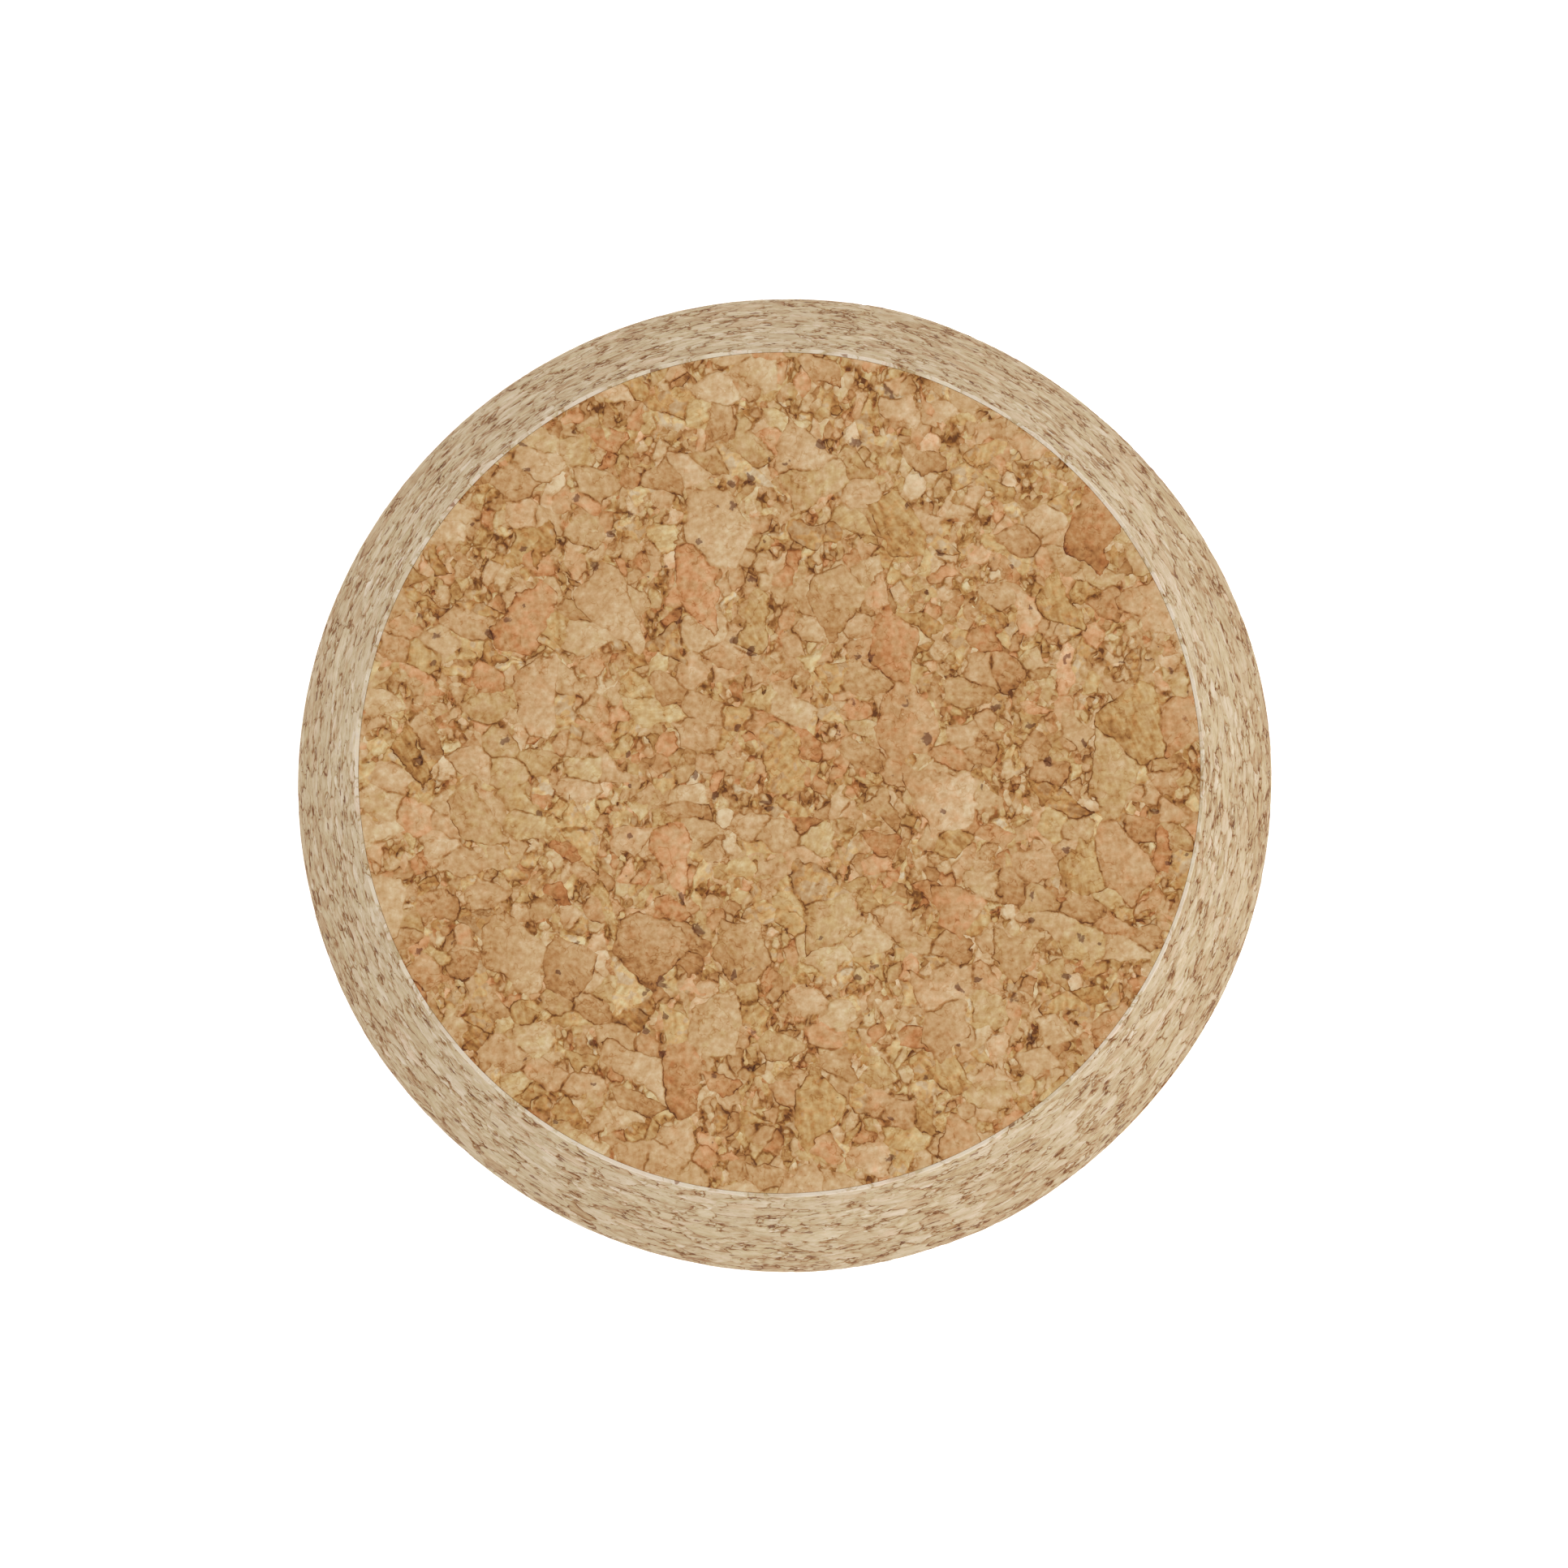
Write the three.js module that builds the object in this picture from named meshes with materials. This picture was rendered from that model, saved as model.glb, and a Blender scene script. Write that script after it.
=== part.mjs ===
// A flat-faced cork massage ball. A hollow cork dome, the working side, carries a straight-tapered
// cork collar, and both are bonded round a foam core. A disc of coarser cork lies in the collar's
// recess and makes the flat face that the palm presses on.
// Millimetres, +Z up. The origin is the centre of the small flat at the dome's pole, and +Z is the
// axis of symmetry.
import * as THREE from "three";

// Driving dimensions
const BALL_RADIUS = 40; // widest radius, at the rim where dome and collar meet
const POLE_FLAT_RADIUS = 6; // sanded flat at the dome's pole, on which the ball stands still
const RIM_ROUNDING = 12; // radius that turns the rim into the taper
const TAPER = THREE.MathUtils.degToRad(20); // the collar's lean towards the axis
const FACE_RADIUS = 34; // outer edge of the palm face, at the top of the taper
const LIP = 0.25; // feather edge of the collar, left standing round the palm disc
const WALL = 7; // cork thickness between the outer ball and the core
const DISC_THICKNESS = 4;
const ADHESIVE_THICKNESS = 0.4;
const GLUE_THICKNESS = 0.3;
const SPIGOT_HEIGHT = 2.5; // tongue under the collar that centres it in the dome
const SPIGOT_THICKNESS = 2.5;
const CLEARANCE = 0.15; // between pieces that slide together before bonding
const EDGE_BREAK = 0.25; // chamfer on the palm disc's upper edge

// How finely the round surfaces are stepped
const SEGMENTS = 72;
const ARC_STEPS = 18;
const RIM_STEPS = 5;
const COLLAR_INSIDE_STEPS = 9;
const ON_AXIS = 1e-9; // a radius below this lies on the axis

// Worked out from the driving dimensions
const RIM_Z = Math.sqrt(BALL_RADIUS ** 2 - POLE_FLAT_RADIUS ** 2);
const TAPER_START_RADIUS = BALL_RADIUS - RIM_ROUNDING * (1 - Math.cos(TAPER));
const TAPER_START_Z = RIM_Z + RIM_ROUNDING * Math.sin(TAPER);
const FACE_Z = TAPER_START_Z + (TAPER_START_RADIUS - FACE_RADIUS) / Math.tan(TAPER);
const CAVITY_RADIUS = BALL_RADIUS - WALL;
const RECESS_RADIUS = FACE_RADIUS - LIP;
const DISC_RADIUS = RECESS_RADIUS - CLEARANCE;
const DISC_BOTTOM_Z = FACE_Z - DISC_THICKNESS;
const LEDGE_Z = DISC_BOTTOM_Z - ADHESIVE_THICKNESS;
const COLLAR_BOTTOM_Z = RIM_Z + GLUE_THICKNESS;
const SPIGOT_RADIUS = CAVITY_RADIUS + SPIGOT_THICKNESS;
const SPIGOT_BOTTOM_Z = RIM_Z - SPIGOT_HEIGHT;
const REBATE_RADIUS = SPIGOT_RADIUS + CLEARANCE;
const REBATE_FLOOR_Z = SPIGOT_BOTTOM_Z - CLEARANCE;

// Outline points of an arc about [centreRadius, RIM_Z], from height z0 to height z1.
function arc(centreRadius, radius, z0, z1, steps = ARC_STEPS) {
  const angleAt = (z) => Math.asin((z - RIM_Z) / radius);
  const start = angleAt(z0);
  const sweep = angleAt(z1) - start;
  return Array.from({ length: steps + 1 }, (_, i) => {
    const angle = start + (sweep * i) / steps;
    const r = centreRadius + radius * Math.cos(angle);
    return [r < ON_AXIS ? 0 : r, RIM_Z + radius * Math.sin(angle)];
  });
}

// The same for a sphere that shares the ball's centre.
const sphereArc = (radius, z0, z1, steps) => arc(0, radius, z0, z1, steps);

// A solid of revolution about +Z from an outline of [radius, height] points.
function turned(name, outline, material) {
  const points = outline.map(([r, z]) => new THREE.Vector2(r, z));
  const geometry = new THREE.LatheGeometry(points, SEGMENTS);
  geometry.rotateX(Math.PI / 2);
  const mesh = new THREE.Mesh(geometry, material);
  mesh.name = name;
  return mesh;
}

const coarseCork = new THREE.MeshStandardMaterial({ color: 0xba9467, roughness: 0.85 });
const paleCork = new THREE.MeshStandardMaterial({ color: 0xc2ab8c, roughness: 0.95 });
const foam = new THREE.MeshStandardMaterial({ color: 0x4b4743, roughness: 0.9 });
const adhesive = new THREE.MeshStandardMaterial({ color: 0xe6dcc4, roughness: 0.5 });
const glue = new THREE.MeshStandardMaterial({ color: 0x9c7c50, roughness: 0.6 });

// The working side: a hemispherical shell, rebated inside its rim for the collar's spigot.
function domeShell() {
  const outline = [
    [0, 0],
    ...sphereArc(BALL_RADIUS, 0, RIM_Z),
    [REBATE_RADIUS, RIM_Z],
    [REBATE_RADIUS, REBATE_FLOOR_Z],
    ...sphereArc(CAVITY_RADIUS, REBATE_FLOOR_Z, RIM_Z - CAVITY_RADIUS),
  ];
  return turned("dome_shell", outline, paleCork);
}

// The tapered ring above the rim, with its spigot below and the recess for the palm disc above.
function collar() {
  const rim = arc(BALL_RADIUS - RIM_ROUNDING, RIM_ROUNDING, COLLAR_BOTTOM_Z, TAPER_START_Z, RIM_STEPS);
  const outline = [
    ...rim,
    [FACE_RADIUS, FACE_Z],
    [RECESS_RADIUS, FACE_Z],
    [RECESS_RADIUS, LEDGE_Z],
    ...sphereArc(CAVITY_RADIUS, LEDGE_Z, SPIGOT_BOTTOM_Z, COLLAR_INSIDE_STEPS),
    [SPIGOT_RADIUS, SPIGOT_BOTTOM_Z],
    [SPIGOT_RADIUS, COLLAR_BOTTOM_Z],
    rim[0],
  ];
  return turned("collar", outline, paleCork);
}

// The film of glue between the dome's rim and the collar.
function rimGlue() {
  const outer = BALL_RADIUS - CLEARANCE;
  const outline = [
    [outer, RIM_Z],
    [outer, COLLAR_BOTTOM_Z],
    [REBATE_RADIUS, COLLAR_BOTTOM_Z],
    [REBATE_RADIUS, RIM_Z],
    [outer, RIM_Z],
  ];
  return turned("rim_glue_ring", outline, glue);
}

// The foam core that fills the cavity, flat on top, level with the collar's ledge.
function core() {
  const radius = CAVITY_RADIUS - CLEARANCE;
  const outline = [...sphereArc(radius, RIM_Z - radius, LEDGE_Z), [0, LEDGE_Z]];
  return turned("foam_core", outline, foam);
}

// The double-sided adhesive disc that holds the palm disc to the ledge and the core.
function adhesiveDisc() {
  const radius = DISC_RADIUS - EDGE_BREAK;
  const outline = [
    [0, LEDGE_Z],
    [radius, LEDGE_Z],
    [radius, DISC_BOTTOM_Z],
    [0, DISC_BOTTOM_Z],
  ];
  return turned("adhesive_disc", outline, adhesive);
}

// The coarse cork disc of the flat face, its upper edge lightly broken.
function palmDisc() {
  const outline = [
    [0, DISC_BOTTOM_Z],
    [DISC_RADIUS, DISC_BOTTOM_Z],
    [DISC_RADIUS, FACE_Z - EDGE_BREAK],
    [DISC_RADIUS - EDGE_BREAK, FACE_Z],
    [0, FACE_Z],
  ];
  return turned("palm_disc", outline, coarseCork);
}

const massageBall = new THREE.Group();
massageBall.add(domeShell(), collar(), rimGlue(), core(), adhesiveDisc(), palmDisc());

export default massageBall;
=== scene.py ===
"""A flat-faced cork massage ball: dome, collar, glued seam, palm disc and foam core, with its studio."""

import math
from collections import namedtuple
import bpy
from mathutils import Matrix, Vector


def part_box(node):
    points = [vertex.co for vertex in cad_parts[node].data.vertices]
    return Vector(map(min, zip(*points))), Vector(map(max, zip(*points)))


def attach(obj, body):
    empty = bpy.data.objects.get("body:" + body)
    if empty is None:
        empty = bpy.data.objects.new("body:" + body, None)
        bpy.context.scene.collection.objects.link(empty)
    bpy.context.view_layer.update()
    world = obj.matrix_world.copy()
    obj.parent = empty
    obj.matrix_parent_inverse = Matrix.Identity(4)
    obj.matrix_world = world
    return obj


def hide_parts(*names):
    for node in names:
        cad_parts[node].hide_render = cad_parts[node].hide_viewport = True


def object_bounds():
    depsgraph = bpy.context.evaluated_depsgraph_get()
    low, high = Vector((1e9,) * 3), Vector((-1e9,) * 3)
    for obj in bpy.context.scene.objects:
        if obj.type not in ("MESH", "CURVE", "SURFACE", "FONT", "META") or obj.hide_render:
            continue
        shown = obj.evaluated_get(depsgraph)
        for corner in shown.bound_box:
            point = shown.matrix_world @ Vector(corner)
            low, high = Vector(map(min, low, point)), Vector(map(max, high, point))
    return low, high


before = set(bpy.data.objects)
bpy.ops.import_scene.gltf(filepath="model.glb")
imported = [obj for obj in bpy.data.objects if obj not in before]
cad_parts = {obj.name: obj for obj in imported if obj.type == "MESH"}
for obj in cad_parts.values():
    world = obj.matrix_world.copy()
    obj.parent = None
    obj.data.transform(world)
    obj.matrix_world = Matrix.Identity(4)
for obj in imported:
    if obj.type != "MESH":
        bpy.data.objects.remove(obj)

from types import SimpleNamespace

import bpy
import numpy as np
from bpy.props import FloatProperty, FloatVectorProperty, IntProperty, PointerProperty
from mathutils import Vector

bl_info = {
    "name": "Cork Massage Ball",
    "version": (1, 0, 0),
    "blender": (4, 5, 0),
    "location": "3D View > Sidebar > Massage Ball",
    "description": "Builds the cork pieces of a flat-faced massage ball round its packed frame",
    "category": "Object",
}

CAD_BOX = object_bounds()
MM = 0.001

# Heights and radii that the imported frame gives
DOME_LOW, DOME_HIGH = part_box("dome_shell")
COLLAR_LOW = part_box("collar")[0]
GLUE_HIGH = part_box("rim_glue_ring")[1]
DISC_LOW, DISC_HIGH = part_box("palm_disc")
FILM_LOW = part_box("adhesive_disc")[0]
BALL_RADIUS = DOME_HIGH.x
RIM_Z = DOME_HIGH.z
COLLAR_BOTTOM_Z = GLUE_HIGH.z
SPIGOT_BOTTOM_Z = COLLAR_LOW.z
LEDGE_Z = FILM_LOW.z
DISC_BOTTOM_Z = DISC_LOW.z
FACE_Z = DISC_HIGH.z


def srgb(text):
    """The linear colour of a hex code such as 'c08a50'."""
    levels = [int(text[i : i + 2], 16) / 255 for i in (0, 2, 4)]
    return tuple(v / 12.92 if v <= 0.04045 else ((v + 0.055) / 1.055) ** 2.4 for v in levels)


# ---------------------------------------------------------------------------------------------
# Settings
# ---------------------------------------------------------------------------------------------


def length(name, description, millimetres):
    return FloatProperty(name=name, description=description, default=millimetres * MM, unit="LENGTH")


def share(name, description, default):
    return FloatProperty(name=name, description=description, default=default, min=0, max=1, subtype="FACTOR")


def number(name, description, default):
    return FloatProperty(name=name, description=description, default=default)


def whole(name, description, default):
    return IntProperty(name=name, description=description, default=default)


def angle(name, description, degrees):
    return FloatProperty(name=name, description=description, default=math.radians(degrees), subtype="ANGLE")


def tone(name, description, hex_code):
    return FloatVectorProperty(
        name=name, description=description, default=srgb(hex_code), size=3, min=0, max=1, subtype="COLOR"
    )


class BallShape(bpy.types.PropertyGroup):
    """Sizes that the frame's boxes don't give."""

    wall: length("Cork wall", "Thickness of the cork round the core", 7)
    pole_flat: length("Pole flat", "Radius of the sanded flat that the ball stands on", 6)
    rim_rounding: length("Rim rounding", "Radius that turns the rim into the collar's taper", 12)
    taper: angle("Taper", "Lean of the collar", 20)
    lip: length("Lip", "Feather edge of the collar round the palm disc", 0.25)
    clearance: length("Clearance", "Gap between pieces that slide together", 0.15)
    spigot: length("Spigot", "Thickness of the collar's spigot", 2.5)
    edge_break: length("Edge break", "How far the collar's and the dome's edges at the seam are broken", 0.25)
    disc_fit: share("Disc fit", "How much of its clearance the pressed-in palm disc fills", 0.97)
    disc_edge: length("Disc edge", "How far the palm disc's edge is broken", 0.05)
    bead_bulge: length("Bead bulge", "How far the glue bead stands out of the seam", 0.12)
    bead_unevenness: length("Bead unevenness", "How far the glue bead wanders in and out", 0.07)
    bead_lump: length("Bead lump", "Length of one lump of the glue bead", 2.2)


# The settings that every cork has: the kind of each, its name in the panel and what it says
CORK_SETTINGS = {
    "large": (length, "Large granules", "Width of the largest granules"),
    "middle": (length, "Middle granules", "Width of the usual granules"),
    "small": (length, "Small granules", "Width of the filling granules"),
    "crumb": (length, "Crumbs", "Width of the crumbs between granules"),
    "large_share": (share, "Large share", "How much of the cork is large granules"),
    "middle_share": (share, "Middle share", "How much of the rest is usual granules"),
    "small_share": (share, "Small share", "How much of what is left is filling granules"),
    "flatness": (number, "Flatness", "How far granules are pressed flat"),
    "ragged": (length, "Raggedness", "How far granule edges wander"),
    "joint": (length, "Joint width", "Half width of the dark joint between granules"),
    "joint_depth": (share, "Joint depth", "How far the joints are darker"),
    "border_shade": (share, "Border shade", "How far granules darken towards their borders"),
    "crease_size": (length, "Crease size", "Length of the waves that creases follow"),
    "crease_gate": (share, "Crease gate", "How rare creases are"),
    "crease_flatness": (number, "Crease flatness", "How far creases are pressed flat"),
    "crease_depth": (share, "Crease depth", "How far the creases inside granules are darker"),
    "speck": (length, "Speck spacing", "Distance between the places where a dark speck may lie"),
    "speck_share": (share, "Speck share", "How many of those places hold a speck"),
    "speck_strength": (share, "Speck strength", "Darkness of the specks"),
    "brightness": (number, "Brightness", "Usual place on the scale of tones"),
    "granule_contrast": (share, "Granule contrast", "Difference in tone from granule to granule"),
    "bark_depth": (share, "Bark depth", "How much darker the few bark granules are"),
    "chip_lift": (share, "Chip lift", "How much paler the few palest granules are"),
    "hue_share": (share, "Hue share", "How far granules differ in hue"),
    "mottle_size": (length, "Mottle size", "Size of the smudges in the cork"),
    "mottle_contrast": (share, "Mottle contrast", "Strength of the smudges"),
    "fibre_contrast": (share, "Fibre contrast", "Strength of the growth lines inside granules"),
    "fine_contrast": (share, "Fine contrast", "Strength of the finest grain"),
    # painted shading: each granule is painted paler on one side and darker on the other, as its tilt would be
    # lit
    "tilt_contrast": (share, "Tilt contrast", "How far a granule is paler on one side"),
    "relief": (length, "Relief", "Depth of the joints and steps between granules"),
    "deep": (tone, "Deepest cracks", "Colour at the bottom of the cracks"),
    "dark": (tone, "Dark cork", "Bark-side cork and joints"),
    "low": (tone, "Darker cork", "Cork a little darker than the body"),
    "body": (tone, "Body cork", "Most of the cork"),
    "light": (tone, "Light cork", "Paler cork"),
    "cream": (tone, "Cream cork", "Palest chips"),
    "speck_stain": (tone, "Speck stain", "Brown that the specks are stained with"),
    "roughness": (share, "Roughness", "Roughness of the surface"),
    "seed": (whole, "Seed", "Which block of cork the piece is cut from"),
}


def cork_settings(**values):
    """A property for each of a cork's settings, lengths in millimetres."""
    return {name: kind(label, text, values[name]) for name, (kind, label, text) in CORK_SETTINGS.items()}


class PalmCork(bpy.types.PropertyGroup):
    """Coarse, sealed cork of the palm disc."""

    __annotations__ = cork_settings(
        large=4.2, middle=2.4, small=1.35, crumb=0.65,
        large_share=0.2, middle_share=0.5, small_share=0.6, flatness=1.0, ragged=1.5,
        joint=0.15, joint_depth=0.27, border_shade=0.05,
        crease_size=1.1, crease_gate=0.42, crease_flatness=1.0, crease_depth=0.16,
        speck=1.4, speck_share=0.13, speck_strength=0.85,
        brightness=0.58, granule_contrast=0.26, bark_depth=0.05, chip_lift=0.08, hue_share=0.85,
        mottle_size=0.6, mottle_contrast=0.6, fibre_contrast=0.28, fine_contrast=0.25,
        tilt_contrast=0.3,
        deep="60340f", dark="895624", low="a67542", body="b58d5f", light="c19f75", cream="d3bc99",
        speck_stain="a08478",
        relief=0.08, roughness=0.72, seed=3,
    )


class SkinCork(bpy.types.PropertyGroup):
    """Pale, sanded, finer cork of the collar and the dome."""

    __annotations__ = cork_settings(
        large=3.6, middle=2.1, small=1.2, crumb=0.7,
        large_share=0.2, middle_share=0.45, small_share=0.6, flatness=1.8, ragged=1.3,
        joint=0.17, joint_depth=0.3, border_shade=0.05,
        crease_size=1.7, crease_gate=0.48, crease_flatness=4.5, crease_depth=0.42,
        speck=1.5, speck_share=0.22, speck_strength=0.85,
        brightness=0.54, granule_contrast=0.25, bark_depth=0.08, chip_lift=0.06, hue_share=0.25,
        mottle_size=1.2, mottle_contrast=0.6, fibre_contrast=0.1, fine_contrast=0.15,
        tilt_contrast=0.2,
        deep="6c3f18", dark="8e6338", low="a78a64", body="b49f7d", light="bfab8f", cream="d1c2ae",
        speck_stain="b08a70",
        relief=0.065, roughness=0.9, seed=11,
    )


class Studio(bpy.types.PropertyGroup):
    """Floor, light and camera."""

    floor_radius: length("Floor radius", "Radius of the round floor", 2500)
    floor_gap: length("Floor gap", "How far under the ball the floor lies", 0.05)
    floor_colour: tone("Floor colour", "Near-white of the floor", "fafafa")
    floor_glow: number("Floor glow", "Light that the floor gives off", 0.45)
    sky: number("Sky", "Brightness of the surroundings", 0.965)
    key_irradiance: number("Key light", "Strength of the soft key light at the ball, in W/m2", 0.84)
    key_bearing: angle("Key bearing", "Bearing of the key light", -20)
    key_height: angle("Key height", "Key light above the horizon", 42)
    key_distance: length("Key distance", "From the ball to the key light", 1200)
    key_size: length("Key size", "Width of the key light's square panel", 900)
    camera_distance: length("Camera distance", "From the middle of the rim to the lens", 705)
    camera_tilt: angle("Camera tilt", "Lean of the view from the axis", 3.25)
    camera_bearing: angle("Camera bearing", "Side that the camera leans to", -68)
    ball_share: share("Ball share", "Width of the ball's outline over the picture's", 0.6202)


class MassageBall(bpy.types.PropertyGroup):
    """Everything a user of the panel can change."""

    shape: PointerProperty(type=BallShape)
    palm_cork: PointerProperty(type=PalmCork)
    skin_cork: PointerProperty(type=SkinCork)
    studio: PointerProperty(type=Studio)


# ---------------------------------------------------------------------------------------------
# Node trees as expressions
# ---------------------------------------------------------------------------------------------


class Value:
    """A socket in a node tree. Arithmetic on it adds Math nodes, or Vector Math nodes for vectors."""

    def __init__(self, graph, socket):
        self.graph = graph
        self.socket = socket

    @property
    def is_vector(self):
        return self.socket.type in {"VECTOR", "RGBA"}

    def __add__(self, other):
        return self.graph.arithmetic("ADD", self, other)

    def __radd__(self, other):
        return self.graph.arithmetic("ADD", other, self)

    def __sub__(self, other):
        return self.graph.arithmetic("SUBTRACT", self, other)

    def __rsub__(self, other):
        return self.graph.arithmetic("SUBTRACT", other, self)

    def __mul__(self, other):
        return self.graph.arithmetic("MULTIPLY", self, other)

    def __rmul__(self, other):
        return self.graph.arithmetic("MULTIPLY", self, other)

    def __truediv__(self, other):
        return self.graph.arithmetic("DIVIDE", self, other)

    def __rtruediv__(self, other):
        return self.graph.arithmetic("DIVIDE", other, self)

    def __lt__(self, other):
        return self.graph.arithmetic("LESS_THAN", self, other)


def is_vector(value):
    return value.is_vector if isinstance(value, Value) else isinstance(value, (tuple, Vector))


class Node:
    """A node whose outputs are read by name."""

    def __init__(self, graph, made):
        self.graph = graph
        self.made = made

    def __getitem__(self, name):
        return Value(self.graph, find_socket(self.made.outputs, name))


def find_socket(sockets, key):
    """A socket by its place, its identifier or its name."""
    if isinstance(key, int):
        return sockets[key]
    for socket in sockets:
        if socket.identifier == key:
            return socket
    return sockets[key]


class Graph:
    """A shader or geometry node tree that is being written."""

    def __init__(self, tree):
        self.tree = tree

    def node(self, kind, settings=None, inputs=None):
        """Adds a node: its settings first, then the values or links of its sockets."""
        made = self.tree.nodes.new(kind)
        for name, value in (settings or {}).items():
            if name == "stops":
                self.set_stops(made.color_ramp, value)
            else:
                setattr(made, name, value)
        for key, value in (inputs or {}).items():
            socket = find_socket(made.inputs, key)
            if isinstance(value, Value):
                self.tree.links.new(value.socket, socket)
            else:
                socket.default_value = value
        return Node(self, made)

    @staticmethod
    def set_stops(ramp, stops):
        """Gives a colour ramp its (place, colour) stops."""
        while len(ramp.elements) > 1:
            ramp.elements.remove(ramp.elements[-1])
        for i, (place, colour) in enumerate(stops):
            element = ramp.elements[0] if i == 0 else ramp.elements.new(place)
            element.position = place
            element.color = (*colour, 1)

    def arithmetic(self, operation, a, b):
        if is_vector(a) or is_vector(b):
            if operation == "MULTIPLY" and not (is_vector(a) and is_vector(b)):
                arrow, factor = (a, b) if is_vector(a) else (b, a)
                return self.node(
                    "ShaderNodeVectorMath", {"operation": "SCALE"}, {0: arrow, "Scale": factor}
                )["Vector"]
            return self.node("ShaderNodeVectorMath", {"operation": operation}, {0: a, 1: b})["Vector"]
        return self.node("ShaderNodeMath", {"operation": operation}, {0: a, 1: b})["Value"]

    def dot(self, a, b):
        return self.node("ShaderNodeVectorMath", {"operation": "DOT_PRODUCT"}, {0: a, 1: b})["Value"]

    def normalised(self, a):
        return self.node("ShaderNodeVectorMath", {"operation": "NORMALIZE"}, {0: a})["Vector"]

    def rotated(self, place, angle):
        """A place turned about the vertical."""
        settings = {"rotation_type": "Z_AXIS"}
        return self.node("ShaderNodeVectorRotate", settings, {"Vector": place, "Angle": angle})["Vector"]

    def between(self, a, b, factor):
        """a where the factor is 0, b where it is 1."""
        if is_vector(a) or is_vector(b):
            return self.node(
                "ShaderNodeMix",
                {"data_type": "VECTOR"},
                {"Factor_Float": factor, "A_Vector": a, "B_Vector": b},
            )["Result_Vector"]
        return a + (b - a) * factor

    def tinted(self, colour, other, factor):
        """A colour mixed with another by a factor."""
        inputs = {"Factor_Float": factor, "A_Color": colour, "B_Color": other}
        return self.node("ShaderNodeMix", {"data_type": "RGBA"}, inputs)["Result_Color"]

    def step(self, value, low, high, start=0.0, end=1.0):
        """A smooth step from start at low to end at high."""
        return self.node(
            "ShaderNodeMapRange",
            {"interpolation_type": "SMOOTHSTEP"},
            {"Value": value, "From Min": low, "From Max": high, "To Min": start, "To Max": end},
        )["Result"]

    def noise(self, place, size, detail=2.0, roughness=0.5):
        """Soft noise whose features are about `size` across."""
        inputs = {"Vector": place, "Scale": 1 / size, "Detail": detail, "Roughness": roughness}
        return self.node("ShaderNodeTexNoise", {"noise_dimensions": "3D"}, inputs)


# ---------------------------------------------------------------------------------------------
# Agglomerated cork
# ---------------------------------------------------------------------------------------------

HALF = (0.5, 0.5, 0.5)
WHITE = (1, 1, 1, 1)
SEED_STEP = Vector((0.173, 0.091, 0.257))  # how far apart two seeds' blocks of cork lie, in metres
STRETCH = Vector((1.2, 0.84, 1))  # granules are longer one way than the other
CRUMB_REACH = 0.62  # half width of a crumb before its joint, over the distance between crumbs
WANDER_SIZE = 1.9 * MM  # size of the wiggles in a granule's edge
CELLS = {"voronoi_dimensions": "3D", "feature": "F1"}
CELL_WALLS = {"voronoi_dimensions": "3D", "feature": "DISTANCE_TO_EDGE"}


class Granules:
    """What lies at each place: chance values of the granule there, its slope, and how far its edge is."""

    def __init__(self, graph, chance, tint, lie, slope, edge):
        self.graph = graph
        self.chance = chance
        self.tint = tint
        self.lie = lie
        self.slope = slope
        self.edge = edge

    def under(self, larger, present):
        """These granules, with the larger ones over them where present is 1."""
        graph = self.graph
        return Granules(
            graph,
            graph.between(self.chance, larger.chance, present),
            graph.between(self.tint, larger.tint, present),
            graph.between(self.lie, larger.lie, present),
            graph.between(self.slope, larger.slope, present),
            graph.between(self.edge, larger.edge, present),
        )


def granules_of(graph, place, size, turn=0.0, walled=True):
    """Granules of one size, longer one way than the other, and the draw that says which are there."""
    place = graph.rotated(place, turn) * STRETCH
    cells = graph.node("ShaderNodeTexVoronoi", CELLS, {"Vector": place, "Scale": 1 / size})
    lie = cells["Color"] - HALF
    parts = graph.node("ShaderNodeSeparateXYZ", None, {"Vector": cells["Color"]})
    slope = graph.dot(place - cells["Position"], lie) * (1 / size)
    if walled:
        walls = graph.node("ShaderNodeTexVoronoi", CELL_WALLS, {"Vector": place, "Scale": 1 / size})
        edge = walls["Distance"] * size
    else:
        edge = (CRUMB_REACH - cells["Distance"]) * size
    return Granules(graph, parts["Y"], parts["Z"], lie, slope, edge), parts["X"]


def cork_block(graph, place, cork):
    """The granules at a place in a block of cork, the small ones between the large ones."""
    place = place * Vector((1, 1, cork.flatness)) + SEED_STEP * cork.seed
    wander = graph.noise(place, WANDER_SIZE, detail=3, roughness=0.5)["Color"] - HALF
    place = place + wander * cork.ragged
    found, _ = granules_of(graph, place, cork.crumb, walled=False)
    # Each larger size with its share, how far its long way is turned, and how widely its tones spread
    for size, part, turn, spread in (
        (cork.small, cork.small_share, 0.4, 1.0),
        (cork.middle, cork.middle_share, 1.9, 0.9),
        (cork.large, cork.large_share, 2.9, 0.7),
    ):
        larger, draw = granules_of(graph, place, size, turn)
        larger.chance = 0.5 + (larger.chance - 0.5) * spread
        found = found.under(larger, draw < part)
    return found, place


OPEN_SIZE = 1.5 * MM  # size of the stretches where joints are open or closed
OPEN_BAND = (0.44, 0.6)  # values of their noise between which a joint opens
CLOSED_JOINT = 0.1  # what is left of a joint where it is closed
JOINT_FLOOR = 0.2  # share of a joint's half width that is at its full depth


def cork_joints(graph, place, found, cork):
    """How deep and dark the joint is: 1 in the middle of an open joint, 0 away from it."""
    stretches = graph.noise(place, OPEN_SIZE, detail=2)["Fac"]
    open_here = graph.step(stretches, *OPEN_BAND, CLOSED_JOINT, 1)
    return graph.step(found.edge, JOINT_FLOOR * cork.joint, cork.joint, 1, 0) * open_here


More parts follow.
